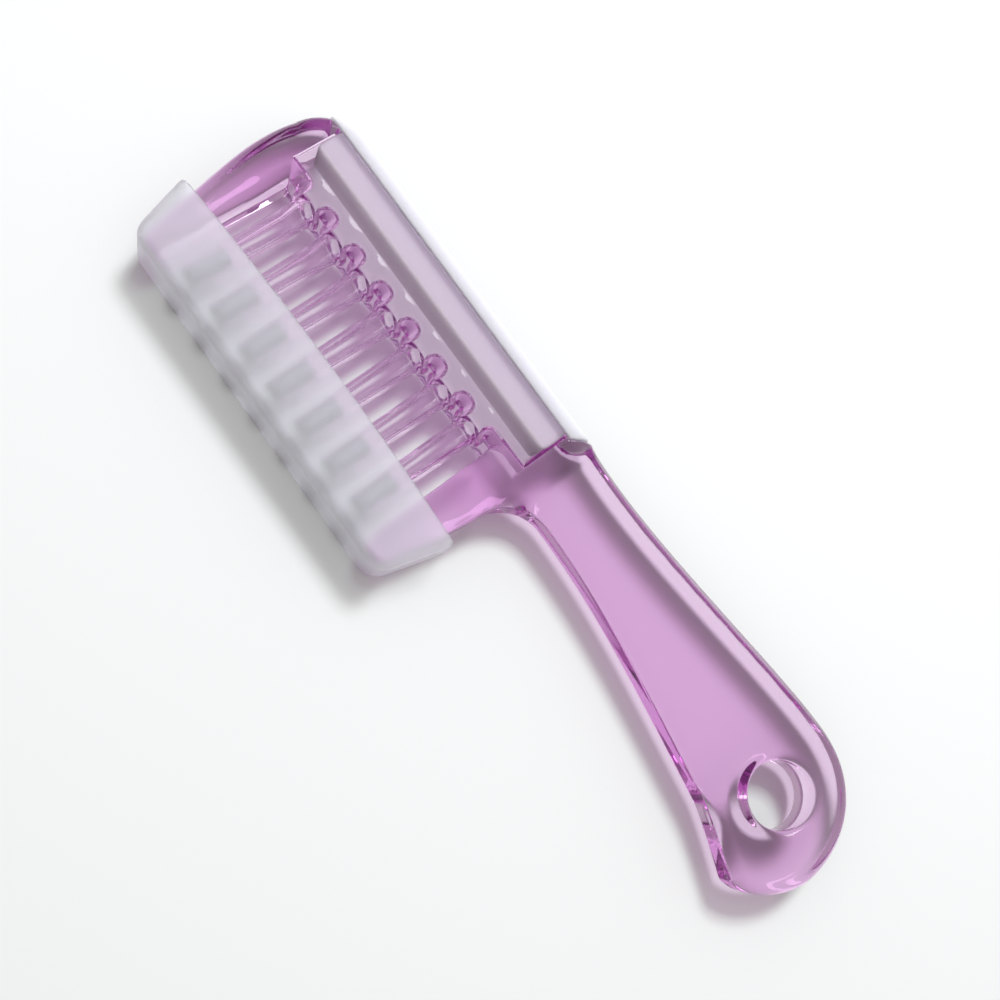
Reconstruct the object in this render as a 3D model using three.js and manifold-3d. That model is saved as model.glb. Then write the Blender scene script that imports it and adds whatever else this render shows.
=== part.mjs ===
import * as THREE from 'three';
import { mergeVertices } from 'three/addons/utils/BufferGeometryUtils.js';
import Module from 'manifold-3d';

// A comb that massages the scalp and feeds it liquid from a tank in its head, in millimetres.
// X runs from the head to the end of the handle, Y from the tooth tips to the spine, Z through the thickness.
// X = 0 is where the head meets the handle, Y = 0 the line that the teeth stand on, Z = 0 the middle plane.

// Head: the thick block round the tank
const HEAD_REACH = 88.3;
const HEAD_OVERRUN = 1.2;
const HEAD_THICKNESS = 12;
const HEAD_EDGE = 2;
const HEAD_CORNER = 11;
const HEAD_FOOT_CORNER = 6;
const HEAD_LIP = 0.3;
const SPINE_HEIGHT = 15;

// Tank: a slot open at the spine, with a dome over each gap and a sump over each tooth
const TANK_WALL = 1.5;
const TANK_END_RUN = 5.05;
const TANK_NECK_WALL = 2.2;
const TANK_EDGE = 0.6;
const TANK_SUMP = 0.8;
const DOME_RADIUS = 2.4;

// Teeth: hollow, tapering, with a rounded root
const TOOTH_COUNT = 7;
const TOOTH_PITCH = 9.4;
const TOOTH_LENGTH = 28.2;
const TOOTH_ROOT_WIDTH = 6;
const TOOTH_ROOT_DEPTH = 8.4;
const TOOTH_TIP_WALL = 0.5;
const ROOT_FILLET = 1.4;
const FUNNEL_WALL = 1.1;
const FUNNEL_LENGTH = 6;
const BORE_WIDTH = 2.2;

// Guards: the wide blade at each end of the row, the outer one at the head's round end
const GUARD_GAP = 3.25;
const GUARD_OVERRUN = 3.7;
const OUTER_TIP_FLAT = 0.1;
const INNER_TIP_FLAT = 0.9;
const OUTER_GUARD_BULGE = 2;
const OUTER_GUARD_BEND = -1.9;
const INNER_GUARD_BEND = -14;

// Handle: a flat blade with round edges and a hanging hole, its end measured back from its reach
const HANDLE_THICKNESS = 9;
const HANDLE_EDGE = 2.6;
const HANDLE_REACH = 100.9;
const HANDLE_RISE = 0.4;
const HANDLE_DIP_RUN = 21.7;
const HANDLE_DIP = 2.6;
const CREST_BACK = 21.9;
const CREST_HEIGHT = 23.6;
const CREST_PULL_BACK = 18.6;
const CREST_PULL_ON = 14.8;
const NOSE_HEIGHT = 2;
const NOSE_PULL_UP = 10.9;
const NOSE_PULL_DOWN = 7.1;
const BEAK_BACK = 11.5;
const BEAK_HEIGHT = -13.2;
const BEAK_PULL = 5.5;
const KINK_BACK = 28.3;
const KINK_HEIGHT = -7.4;
const KINK_PULL_ON = 3.7;
const KINK_PULL_BACK = 20;
const KINK_DROP = 0.5;
const KINK_RISE = 3.3;
const NECK_RADIUS = 10.3;
const NECK_EDGE = 0.2;
const NECK_PULL = 21.5;
const HOLE_BACK = 17.5;
const HOLE_HEIGHT = 6.2;
const HOLE_RADIUS = 7.1;
const HOLE_EDGE = 1;

// Lid: a flange on the spine and a plug in the tank's mouth
const FLANGE_HEIGHT = 4;
const FLANGE_OVERLAP = 0.9;
const FLANGE_SLANT_RUN = 3.6;
const PLUG_REACH = 6;
const PLUG_CORNER = 1.7;
const LID_CLEARANCE = 0.3;
const SEAT_GAP = 0.2;

// Cover: a cap over the tips that stands on the guards
const COVER_WALL = 1.3;
const COVER_EDGE = 2.4;
const COVER_SIDE_GAP = 0.7;
const COVER_END_GAP = 0.4;
const COVER_FLOOR_GAP = 0.4;
const COVER_HEIGHT = 16.3;
const COVER_MOUTH_BOW = 1.6;
const COVER_FLARE = THREE.MathUtils.degToRad(5.5);
const COVER_CORNER = 4;
const COVER_FLOOR_FALL = 1.2;

// Tip: a ball in a sleeve, pushed out by a spring
const BALL_RADIUS = 1.5;
const BALL_OFFSET = 0.4;
const BALL_CLEARANCE = 0.1;
const BALL_SHOWING = 0.8;
const LIP_CLEARANCE = 0.1;
const SLEEVE_WALL = 0.4;
const SLEEVE_LENGTH = 8.6;
const SLEEVE_GAP = 0.1;
const SLEEVE_NOSE_WALL = 0.35;
const SPRING_WIRE = 0.4;
const SPRING_CLEARANCE = 0.3;
const SPRING_TURNS = 5;
const SPRING_GAP = 0.15;

// Facets
const ROUND_SIDES = 12;
const CURVE_STEPS = 8;
const SMALL_CURVE_STEPS = 4;
const EDGE_STEPS = 3;
const SMALL_EDGE_STEPS = 2;
const BALL_RINGS = 8;
const CURL_STEPS = 8;
const WIRE_SIDES = 5;

const wasm = await Module();
wasm.setup();

const lidTop = SPINE_HEIGHT + FLANGE_HEIGHT;
const tankEnd = -TANK_NECK_WALL;
const tankDepth = HEAD_THICKNESS - 2 * TANK_WALL;
const tankFloor = TANK_SUMP + DOME_RADIUS;
const flangeFoot = tankEnd + FLANGE_OVERLAP;
const handleStart = flangeFoot + FLANGE_SLANT_RUN;
const handleStartHeight = lidTop + HANDLE_RISE;

const rowCentre = (NECK_EDGE - HEAD_REACH) / 2;
const toothPlaces = [];
for (let i = 0; i < TOOTH_COUNT; i += 1) {
  toothPlaces.push(rowCentre + (i - (TOOTH_COUNT - 1) / 2) * TOOTH_PITCH);
}
const firstTooth = toothPlaces[0];
const lastTooth = toothPlaces[TOOTH_COUNT - 1];
const firstDome = firstTooth - TOOTH_PITCH / 2;
const lastDome = lastTooth + TOOTH_PITCH / 2;
const tankStart = firstDome - TANK_END_RUN;
const toothTip = -TOOTH_LENGTH;

const sleeveBore = BALL_RADIUS + BALL_CLEARANCE;
const sleeveRadius = sleeveBore + SLEEVE_WALL;
const socketRadius = sleeveRadius + SLEEVE_GAP;
const tipRadius = socketRadius + TOOTH_TIP_WALL;
const ballHeight = toothTip - BALL_OFFSET;
const sleeveTop = toothTip + SLEEVE_LENGTH;
const springSeat = sleeveTop + SLEEVE_GAP;

// Each guard ends in a round tip, wide enough for the rounded edges of the blade.
const guardLength = TOOTH_LENGTH + GUARD_OVERRUN;
const guardOffset = TOOTH_ROOT_WIDTH / 2 + GUARD_GAP;
const outerGuardFace = firstTooth - guardOffset;
const innerGuardFace = lastTooth + guardOffset;
const outerTipRadius = HANDLE_EDGE + OUTER_TIP_FLAT;
const innerTipRadius = HANDLE_EDGE + INNER_TIP_FLAT;
const outerTip = new THREE.Vector2(outerGuardFace - outerTipRadius, outerTipRadius - guardLength);
const innerTip = new THREE.Vector2(innerGuardFace + innerTipRadius, innerTipRadius - guardLength);
const outerBend = new THREE.Vector2(-HEAD_REACH - OUTER_GUARD_BULGE, OUTER_GUARD_BEND);
const innerBend = new THREE.Vector2(NECK_EDGE, INNER_GUARD_BEND);
const outerTouch = touch(outerTip, outerTipRadius, outerBend, 1);
const innerTouch = touch(innerTip, innerTipRadius, innerBend, -1);
const coverFloor = -guardLength - COVER_FLOOR_GAP - COVER_WALL;
const coverMouth = coverFloor + COVER_HEIGHT;

// The turn on a round tip where a line from a point touches it, on one side or the other.
function touch(tip, radius, point, side) {
  const away = point.clone().sub(tip);
  return away.angle() + side * Math.acos(radius / away.length());
}

// A closed mesh as a solid that can be joined and cut, and back again.
function solidOf(geometry) {
  const bare = geometry.clone();
  bare.deleteAttribute('normal');
  bare.deleteAttribute('uv');
  const merged = mergeVertices(bare);
  const mesh = new wasm.Mesh({
    numProp: 3,
    vertProperties: new Float32Array(merged.attributes.position.array),
    triVerts: new Uint32Array(merged.index.array),
  });
  return new wasm.Manifold(mesh);
}

function geometryOf(solid) {
  const mesh = solid.getMesh();
  const geometry = new THREE.BufferGeometry();
  geometry.setAttribute('position', new THREE.BufferAttribute(mesh.vertProperties, 3));
  geometry.setIndex(new THREE.BufferAttribute(mesh.triVerts, 1));
  return geometry;
}

// A flat plate of an outline, centred on the middle plane, with its edges rounded inside the outline.
function plate(outline, thickness, edge, edgeSteps, curveSteps) {
  const geometry = new THREE.ExtrudeGeometry(outline, {
    depth: thickness - 2 * edge,
    curveSegments: curveSteps,
    bevelThickness: edge,
    bevelSize: edge,
    bevelOffset: -edge,
    bevelSegments: edgeSteps,
  });
  return solidOf(geometry.translate(0, 0, edge - thickness / 2));
}

// A sharp-edged block of an outline that passes right through the comb, to cut with.
function cutter(outline) {
  const depth = 2 * HEAD_THICKNESS;
  const options = { depth, curveSegments: CURVE_STEPS, bevelEnabled: false };
  return solidOf(new THREE.ExtrudeGeometry(outline, options).translate(0, 0, -depth / 2));
}

// A closed skin through rings of points, each ring a list of Vector3, from the top ring to the lowest.
function skin(rings) {
  const sides = rings[0].length;
  const points = rings.flat();
  const faces = [];
  for (let r = 0; r + 1 < rings.length; r += 1) {
    for (let i = 0; i < sides; i += 1) {
      const a = r * sides + i;
      const b = r * sides + (i + 1) % sides;
      faces.push(a, b, a + sides, b, b + sides, a + sides);
    }
  }
  const lastRing = (rings.length - 1) * sides;
  for (let i = 1; i + 1 < sides; i += 1) {
    faces.push(0, i + 1, i);
    faces.push(lastRing, lastRing + i, lastRing + i + 1);
  }
  const geometry = new THREE.BufferGeometry().setFromPoints(points);
  geometry.setIndex(faces);
  return geometry;
}

// An upright column through oval stations of height, width and depth.
function column(x, stations) {
  const rings = stations.map(([height, width, depth]) => {
    const ring = [];
    for (let i = 0; i < ROUND_SIDES; i += 1) {
      const turn = (2 * Math.PI * i) / ROUND_SIDES;
      ring.push(new THREE.Vector3(x + (width / 2) * Math.cos(turn), height, (depth / 2) * Math.sin(turn)));
    }
    return ring;
  });
  return solidOf(skin(rings));
}

// The outline of the guards and the handle, from the outer guard's inner face round by the spine.
function frameOutline() {
  const cornerRadius = HEAD_CORNER - HEAD_LIP;
  const cornerX = HEAD_CORNER - HEAD_REACH;
  const cornerY = lidTop - HEAD_CORNER;
  const crestX = HANDLE_REACH - CREST_BACK;
  const beakX = HANDLE_REACH - BEAK_BACK;
  const kinkX = HANDLE_REACH - KINK_BACK;
  const neckX = NECK_EDGE + NECK_RADIUS;
  const neckY = NECK_EDGE - NECK_RADIUS;

  const innerFootX = innerTip.x + innerTipRadius * Math.cos(innerTouch);
  const innerFootY = innerTip.y + innerTipRadius * Math.sin(innerTouch);

  const outline = new THREE.Shape();
  outline.moveTo(outerGuardFace, 0);
  outline.lineTo(outerGuardFace, outerTip.y);
  outline.absarc(outerTip.x, outerTip.y, outerTipRadius, 0, outerTouch - 2 * Math.PI, true);
  outline.quadraticCurveTo(outerBend.x, outerBend.y, cornerX - cornerRadius, cornerY);
  outline.absarc(cornerX, cornerY, cornerRadius, Math.PI, Math.PI / 2, true);
  outline.lineTo(handleStart, handleStartHeight);
  outline.bezierCurveTo(
    handleStart + HANDLE_DIP_RUN, handleStartHeight - HANDLE_DIP,
    crestX - CREST_PULL_BACK, CREST_HEIGHT,
    crestX, CREST_HEIGHT,
  );
  outline.bezierCurveTo(
    crestX + CREST_PULL_ON, CREST_HEIGHT,
    HANDLE_REACH, NOSE_HEIGHT + NOSE_PULL_UP,
    HANDLE_REACH, NOSE_HEIGHT,
  );
  outline.bezierCurveTo(
    HANDLE_REACH, NOSE_HEIGHT - NOSE_PULL_DOWN,
    beakX + BEAK_PULL, BEAK_HEIGHT,
    beakX, BEAK_HEIGHT,
  );
  outline.quadraticCurveTo(kinkX + KINK_PULL_ON, KINK_HEIGHT - KINK_DROP, kinkX, KINK_HEIGHT);
  outline.bezierCurveTo(
    kinkX - KINK_PULL_BACK, KINK_HEIGHT + KINK_RISE,
    neckX + NECK_PULL, NECK_EDGE,
    neckX, NECK_EDGE,
  );
  outline.absarc(neckX, neckY, NECK_RADIUS, Math.PI / 2, Math.PI, false);
  outline.quadraticCurveTo(innerBend.x, innerBend.y, innerFootX, innerFootY);
  outline.absarc(innerTip.x, innerTip.y, innerTipRadius, innerTouch, -Math.PI, true);
  outline.lineTo(innerGuardFace, 0);
  outline.closePath();
  return outline;
}

// A disc wider than the comb with the hanging hole in it, whose rims are crisper than the blade's edges.
function holeOutline() {
  const outline = new THREE.Shape();
  outline.absarc(0, 0, 2 * HANDLE_REACH, 0, 2 * Math.PI, false);
  const hole = new THREE.Path();
  hole.absarc(HANDLE_REACH - HOLE_BACK, HOLE_HEIGHT, HOLE_RADIUS, 0, 2 * Math.PI, false);
  outline.holes.push(hole);
  return outline;
}

// The thick head with its lid on, seen from the front.
function headOutline() {
  const cornerX = HEAD_CORNER - HEAD_REACH;
  const cornerY = lidTop - HEAD_CORNER;
  const footX = HEAD_FOOT_CORNER - HEAD_REACH;
  const outline = new THREE.Shape();
  outline.moveTo(HEAD_OVERRUN, 0);
  outline.lineTo(footX, 0);
  outline.absarc(footX, HEAD_FOOT_CORNER, HEAD_FOOT_CORNER, -Math.PI / 2, -Math.PI, true);
  outline.absarc(cornerX, cornerY, HEAD_CORNER, Math.PI, Math.PI / 2, true);
  outline.lineTo(HEAD_OVERRUN, lidTop);
  outline.closePath();
  return outline;
}

// Everything above the spine up to the handle's slanted step, drawn back from both by a gap.
function lidSeatOutline(seatGap, endGap) {
  const slant = FLANGE_SLANT_RUN / (handleStartHeight - SPINE_HEIGHT);
  const low = SPINE_HEIGHT + seatGap;
  const high = handleStartHeight + HANDLE_EDGE;
  const outline = new THREE.Shape();
  outline.moveTo(-HEAD_REACH - HEAD_CORNER, low);
  outline.lineTo(flangeFoot + slant * seatGap - endGap, low);
  outline.lineTo(flangeFoot + slant * (high - SPINE_HEIGHT) - endGap, high);
  outline.lineTo(-HEAD_REACH - HEAD_CORNER, high);
  outline.closePath();
  return outline;
}

// The tank's space, open past the spine, with its scalloped floor.
function tankOutline() {
  const top = SPINE_HEIGHT + 2 * TANK_EDGE;
  const outline = new THREE.Shape();
  outline.moveTo(tankStart, top);
  outline.lineTo(tankStart, tankFloor);
  outline.lineTo(firstDome, tankFloor);
  outline.quadraticCurveTo(firstDome + DOME_RADIUS, tankFloor, firstDome + DOME_RADIUS, TANK_SUMP);
  for (const x of toothPlaces.slice(1)) {
    outline.absarc(x - TOOTH_PITCH / 2, TANK_SUMP, DOME_RADIUS, Math.PI, 0, true);
  }
  outline.lineTo(lastDome - DOME_RADIUS, TANK_SUMP);
  outline.quadraticCurveTo(lastDome - DOME_RADIUS, tankFloor, lastDome, tankFloor);
  outline.lineTo(tankEnd, tankFloor);
  outline.lineTo(tankEnd, top);
  outline.closePath();
  return outline;
}

// One tooth, rooted inside the head with a round fillet on each side.
function tooth(x) {
  const flare = TOOTH_ROOT_WIDTH + 2 * ROOT_FILLET;
  const tipWidth = 2 * tipRadius;
  const bend = ROOT_FILLET * (1 - Math.SQRT1_2);
  return column(x, [
    [TANK_SUMP, flare, TOOTH_ROOT_DEPTH],
    [0, flare, TOOTH_ROOT_DEPTH],
    [-bend, TOOTH_ROOT_WIDTH + 2 * bend, TOOTH_ROOT_DEPTH],
    [-ROOT_FILLET, TOOTH_ROOT_WIDTH, TOOTH_ROOT_DEPTH],
    [toothTip, tipWidth, tipWidth],
  ]);
}

// The way through one tooth: a funnel from the tank, a straight bore and the sleeve's socket.
function toothBore(x) {
  const socketWidth = 2 * socketRadius;
  const mouthWidth = TOOTH_ROOT_WIDTH - 2 * FUNNEL_WALL;
  const mouthDepth = TOOTH_ROOT_DEPTH - 2 * FUNNEL_WALL;
  return column(x, [
    [TANK_SUMP + TANK_EDGE, mouthWidth, mouthDepth],
    [TANK_SUMP, mouthWidth, mouthDepth],
    [TANK_SUMP - FUNNEL_LENGTH, BORE_WIDTH, BORE_WIDTH],
    [springSeat, BORE_WIDTH, BORE_WIDTH],
    [springSeat, socketWidth, socketWidth],
    [toothTip - SLEEVE_GAP, socketWidth, socketWidth],
  ]);
}

function combBody() {
  const blade = plate(frameOutline(), HANDLE_THICKNESS, HANDLE_EDGE, EDGE_STEPS, CURVE_STEPS);
  let body = blade.intersect(plate(holeOutline(), HANDLE_THICKNESS, HOLE_EDGE, EDGE_STEPS, CURVE_STEPS));
  body = body.add(plate(headOutline(), HEAD_THICKNESS, HEAD_EDGE, EDGE_STEPS, CURVE_STEPS));
  body = body.subtract(cutter(lidSeatOutline(0, 0)));
  for (const x of toothPlaces) {
    body = body.add(tooth(x));
  }
  body = body.subtract(plate(tankOutline(), tankDepth, TANK_EDGE, SMALL_EDGE_STEPS, SMALL_CURVE_STEPS));
  for (const x of toothPlaces) {
    body = body.subtract(toothBore(x));
  }
  return geometryOf(body);
}

// The flange is the head's own top, from the spine up, and the plug fills the mouth of the tank.
function plugOutline() {
  const start = tankStart + LID_CLEARANCE;
  const end = tankEnd - LID_CLEARANCE;
  const low = SPINE_HEIGHT - PLUG_REACH;
  const top = SPINE_HEIGHT + SEAT_GAP + FLANGE_HEIGHT / 2;
  const outline = new THREE.Shape();
  outline.moveTo(start, top);
  outline.lineTo(start, low + PLUG_CORNER);
  outline.quadraticCurveTo(start, low, start + PLUG_CORNER, low);
  outline.lineTo(end - PLUG_CORNER, low);
  outline.quadraticCurveTo(end, low, end, low + PLUG_CORNER);
  outline.lineTo(end, top);
  outline.closePath();
  return outline;
}

function tankLid() {
  const head = plate(headOutline(), HEAD_THICKNESS, HEAD_EDGE, EDGE_STEPS, CURVE_STEPS);
  const flange = head.intersect(cutter(lidSeatOutline(SEAT_GAP, LID_CLEARANCE)));
  const plugDepth = tankDepth - 2 * LID_CLEARANCE;
  const plug = plate(plugOutline(), plugDepth, TANK_EDGE, SMALL_EDGE_STEPS, SMALL_CURVE_STEPS);
  return geometryOf(flange.add(plug));
}

// How far a cover's end wall, flared from the guard's own lean, stands out from the guard's tip at a height.
function coverEnd(tip, radius, guardLean, inset, height) {
  const lean = guardLean + COVER_FLARE;
  const wall = radius + COVER_END_GAP + COVER_WALL - inset;
  return wall / Math.cos(lean) + (height - tip.y) * Math.tan(lean);
}

function coverStart(inset, height) {
  return outerTip.x - coverEnd(outerTip, outerTipRadius, outerTouch - Math.PI, inset, height);
}

function coverStop(inset, height) {
  return innerTip.x + coverEnd(innerTip, innerTipRadius, -innerTouch, inset, height);
}

// The cover's front, taken in by an inset, from above its mouth. Its floor falls toward the handle.
function coverOutline(inset, top) {
  const floor = coverFloor + inset;
  const low = floor - COVER_FLOOR_FALL;
  const corner = COVER_CORNER - inset;
  const start = coverStart(inset, floor);
  const stop = coverStop(inset, low);
  const outline = new THREE.Shape();
  outline.moveTo(coverStart(inset, top), top);
  outline.lineTo(coverStart(inset, floor + corner), floor + corner);
  outline.quadraticCurveTo(start, floor, start + corner, floor);
  outline.lineTo(stop - corner, low);
  outline.quadraticCurveTo(stop, low, coverStop(inset, low + corner), low + corner);
  outline.lineTo(coverStop(inset, top), top);
  outline.closePath();
  return outline;
}

// Everything above the cover's bowed mouth.
function mouthOutline(top) {
  const low = coverMouth - COVER_MOUTH_BOW;
  const start = coverStart(0, low);
  const stop = coverStop(0, low);
  const reach = (stop - start) / 2 + COVER_CORNER;
  const middle = (start + stop) / 2;
  const outline = new THREE.Shape();
  outline.moveTo(middle - reach, low);
  outline.quadraticCurveTo(middle, coverMouth + COVER_MOUTH_BOW, middle + reach, low);
  outline.lineTo(middle + reach, top);
  outline.lineTo(middle - reach, top);
  outline.closePath();
  return outline;
}

function toothCover() {
  const room = HANDLE_THICKNESS + 2 * COVER_SIDE_GAP;
  const depth = room + 2 * COVER_WALL;
  const rawTop = coverMouth + 2 * COVER_EDGE;
  const hollowTop = rawTop + COVER_EDGE;
  const shell = plate(coverOutline(0, rawTop), depth, COVER_EDGE, EDGE_STEPS, SMALL_CURVE_STEPS);
  const hollow = plate(coverOutline(COVER_WALL, hollowTop), room, COVER_EDGE - COVER_WALL, SMALL_EDGE_STEPS,
    SMALL_CURVE_STEPS);
  return geometryOf(shell.subtract(hollow).subtract(cutter(mouthOutline(hollowTop))));
}

// The sleeve lines the tooth's socket, and its nose closes in under the ball to keep it.
function ballHolder() {
  const noseTop = toothTip - SLEEVE_GAP;
  const noseEnd = ballHeight - BALL_SHOWING;
  const lip = Math.sqrt(BALL_RADIUS ** 2 - BALL_SHOWING ** 2) + LIP_CLEARANCE;
  const profile = [
    [lip, noseEnd],
    [lip + SLEEVE_NOSE_WALL, noseEnd],
    [tipRadius, noseTop],
    [sleeveRadius, noseTop],
    [sleeveRadius, sleeveTop],
    [sleeveBore, sleeveTop],
    [sleeveBore, ballHeight],
    [lip, noseEnd],
  ];
  return new THREE.LatheGeometry(profile.map(([r, y]) => new THREE.Vector2(r, y)), ROUND_SIDES);
}

function rollerBall() {
  return new THREE.SphereGeometry(BALL_RADIUS, ROUND_SIDES, BALL_RINGS);
}

// One unbroken wire, wound from its seat in the tooth down to the ball.
function ballSpring() {
  const wire = SPRING_WIRE / 2;
  const radius = sleeveBore - SPRING_CLEARANCE - wire;
  const contact = Math.sqrt((BALL_RADIUS + wire) ** 2 - radius ** 2);
  const high = springSeat - SPRING_GAP - wire;
  const low = ballHeight + contact + SPRING_GAP;
  const steps = SPRING_TURNS * CURL_STEPS;
  const climb = (low - high) / (2 * Math.PI * SPRING_TURNS * radius);
  const centres = [];
  const rings = [];
  for (let s = 0; s <= steps; s += 1) {
    const turn = (2 * Math.PI * s) / CURL_STEPS;
    const out = new THREE.Vector3(Math.cos(turn), 0, Math.sin(turn));
    const centre = out.clone().multiplyScalar(radius).setY(THREE.MathUtils.lerp(high, low, s / steps));
    const across = new THREE.Vector3(-Math.sin(turn), climb, Math.cos(turn)).normalize().cross(out);
    const ring = [];
    for (let i = 0; i < WIRE_SIDES; i += 1) {
      const round = (2 * Math.PI * i) / WIRE_SIDES;
      const point = centre.clone().addScaledVector(out, wire * Math.cos(round));
      ring.push(point.addScaledVector(across, wire * Math.sin(round)));
    }
    centres.push(centre);
    rings.push(ring);
  }
  let gap = Infinity;
  for (let a = 0; a < centres.length; a += 1) {
    for (let b = a + CURL_STEPS / 2; b < centres.length; b += 1) {
      gap = Math.min(gap, centres[a].distanceTo(centres[b]) - SPRING_WIRE);
    }
  }
  console.log(`least gap between the turns of a ball spring: ${gap.toFixed(2)} mm`);
  return skin(rings);
}

const clearLavender = { color: 0xcda0d2, roughness: 0.08, metalness: 0, transparent: true, opacity: 0.5 };
const whiteSilicone = { color: 0xe9e6ee, roughness: 0.5, metalness: 0 };
const frostedWhite = { color: 0xdcd8e2, roughness: 0.55, metalness: 0, transparent: true, opacity: 0.85 };
const softGrey = { color: 0xa3a4ac, roughness: 0.4, metalness: 0 };
const polishedSteel = { color: 0xb9bac0, roughness: 0.15, metalness: 1 };
const springSteel = { color: 0x9b9ca3, roughness: 0.3, metalness: 1 };

const comb = new THREE.Group();

function place(name, geometry, finish, position) {
  const mesh = new THREE.Mesh(geometry, new THREE.MeshStandardMaterial(finish));
  mesh.name = name;
  mesh.position.set(...position);
  comb.add(mesh);
}

place('comb_body', combBody(), clearLavender, [0, 0, 0]);
place('tank_lid', tankLid(), whiteSilicone, [0, 0, 0]);
place('tooth_cover', toothCover(), frostedWhite, [0, 0, 0]);
const springShape = ballSpring();
toothPlaces.forEach((x, i) => {
  place(`ball_holder_${i + 1}`, ballHolder(), softGrey, [x, 0, 0]);
  place(`ball_spring_${i + 1}`, springShape.clone(), springSteel, [x, 0, 0]);
  place(`roller_ball_${i + 1}`, rollerBall(), polishedSteel, [x, ballHeight, 0]);
});

// The comb lies on its back, with the middle of its outline over the origin.
const extent = new THREE.Box3().setFromObject(comb);
const middle = extent.getCenter(new THREE.Vector3());
comb.position.set(-middle.x, -middle.y, -extent.min.z);

const part = new THREE.Group();
part.add(comb);

export default part;
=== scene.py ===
import math

import bmesh
import bpy
import numpy as np
from mathutils import Matrix, Vector


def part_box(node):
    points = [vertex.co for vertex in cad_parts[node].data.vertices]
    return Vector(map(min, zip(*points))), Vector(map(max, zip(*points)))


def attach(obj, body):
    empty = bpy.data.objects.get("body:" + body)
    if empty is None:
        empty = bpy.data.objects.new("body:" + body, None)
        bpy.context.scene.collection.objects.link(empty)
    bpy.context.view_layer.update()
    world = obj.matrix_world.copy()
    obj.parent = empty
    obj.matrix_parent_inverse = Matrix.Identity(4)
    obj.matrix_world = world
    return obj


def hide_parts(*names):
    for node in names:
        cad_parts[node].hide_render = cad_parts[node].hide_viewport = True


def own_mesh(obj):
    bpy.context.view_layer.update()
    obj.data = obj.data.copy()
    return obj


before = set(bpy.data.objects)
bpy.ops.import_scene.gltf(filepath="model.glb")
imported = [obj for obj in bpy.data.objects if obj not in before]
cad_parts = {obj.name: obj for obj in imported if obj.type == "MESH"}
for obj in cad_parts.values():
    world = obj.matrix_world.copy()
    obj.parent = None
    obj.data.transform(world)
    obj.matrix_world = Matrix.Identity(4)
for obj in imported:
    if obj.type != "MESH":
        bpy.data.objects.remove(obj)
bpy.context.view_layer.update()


# Comb body: one clear lavender moulding with the tank, seven hollow teeth, a guard at each end of them and
# the handle. It is cast in a single shot, so every face runs into the next with a soft edge. It is worked out
# in millimetres from the line that the teeth stand on, where the head meets the handle, at mid thickness.
HANDLE_REACH = 100.9
CREST_HEIGHT = 23.6
HANDLE_HALF = 4.5
HANDLE_EDGE = 2.6
HEAD_REACH = 88.3
HEAD_OVERRUN = 1.2
HEAD_HALF = 6.0
HEAD_EDGE = 2.0
HEAD_CORNER = 11.0
HEAD_FOOT_CORNER = 6.0
HEAD_LIP = 0.3
SPINE_HEIGHT = 15.0
SEAT_EDGE = 0.3
LID_TOP = 19.0
FLANGE_FOOT, FLANGE_SLANT = -1.3, 3.6 / 4.4
HOLE_CENTRE = (83.4, 6.2)
HOLE_RADIUS = 7.1
HOLE_EDGE = 1.0
TANK_START, TANK_END = -82.0, -2.2
TANK_FLOOR, TANK_SUMP = 3.2, 0.8
TANK_HALF, TANK_EDGE, TANK_RIM = 4.5, 1.4, 0.5
DOME_RADIUS = 2.4
TOOTH_PITCH = 9.4
ROW_CENTRE = -44.05
TOOTH_PLACES = [ROW_CENTRE + (i - 3) * TOOTH_PITCH for i in range(7)]
TOOTH_TIP, TOOTH_TOP = -28.2, 3.0
TOOTH_ROOT, TOOTH_ROOT_DEPTH, TOOTH_TIP_RADIUS = 3.0, 4.2, 2.65
TIP_EDGE, ROOT_FILLET = 0.3, 2.2
BORE_TOP, BORE_RADIUS = -5.2, 1.1
FUNNEL_WIDTH, FUNNEL_DEPTH, FUNNEL_RIM = 1.9, 3.1, 0.4
SOCKET_TOP, SOCKET_RADIUS, SOCKET_RIM = -19.5, 2.04, 0.2

body_low, body_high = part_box("comb_body")
ROOT = Vector((body_high.x - HANDLE_REACH / 1000, body_high.y - CREST_HEIGHT / 1000,
               (body_low.z + body_high.z) / 2))


def arc(centre, radius, start, end, steps):
    turn = np.radians(np.linspace(start, end, steps + 1))
    return np.column_stack((centre[0] + radius * np.cos(turn), centre[1] + radius * np.sin(turn)))


# A curve that leaves the first point, is pulled by those between and ends at the last.
def sweep(points, steps):
    t = np.linspace(0, 1, steps + 1)[:, None]
    level = [np.asarray(p, float) for p in points]
    while len(level) > 1:
        level = [a + (b - a) * t for a, b in zip(level, level[1:])]
    return level[0]


def outline_of(*runs):
    points = np.vstack([np.asarray(run, float).reshape(-1, 2) for run in runs])
    kept = np.linalg.norm(points - np.roll(points, 1, 0), axis=1) > 1e-6
    return points[kept]


# The distance to a closed outline, below zero inside it, as all the distances here are.
def to_outline(x, y, outline):
    x, y = np.broadcast_arrays(x, y)
    nearest = np.full(x.shape, 1e12)
    inside = np.zeros(x.shape, bool)
    for (ax, ay), (bx, by) in zip(outline, np.roll(outline, -1, 0)):
        ex, ey, wx, wy = bx - ax, by - ay, x - ax, y - ay
        t = np.clip((wx * ex + wy * ey) / (ex * ex + ey * ey), 0, 1)
        nearest = np.minimum(nearest, (wx - ex * t) ** 2 + (wy - ey * t) ** 2)
        inside ^= ((ay > y) != (by > y)) & ((ex * wy - ey * wx > 0) == (by > ay))
    return np.where(inside, -1, 1) * np.sqrt(nearest)


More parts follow.
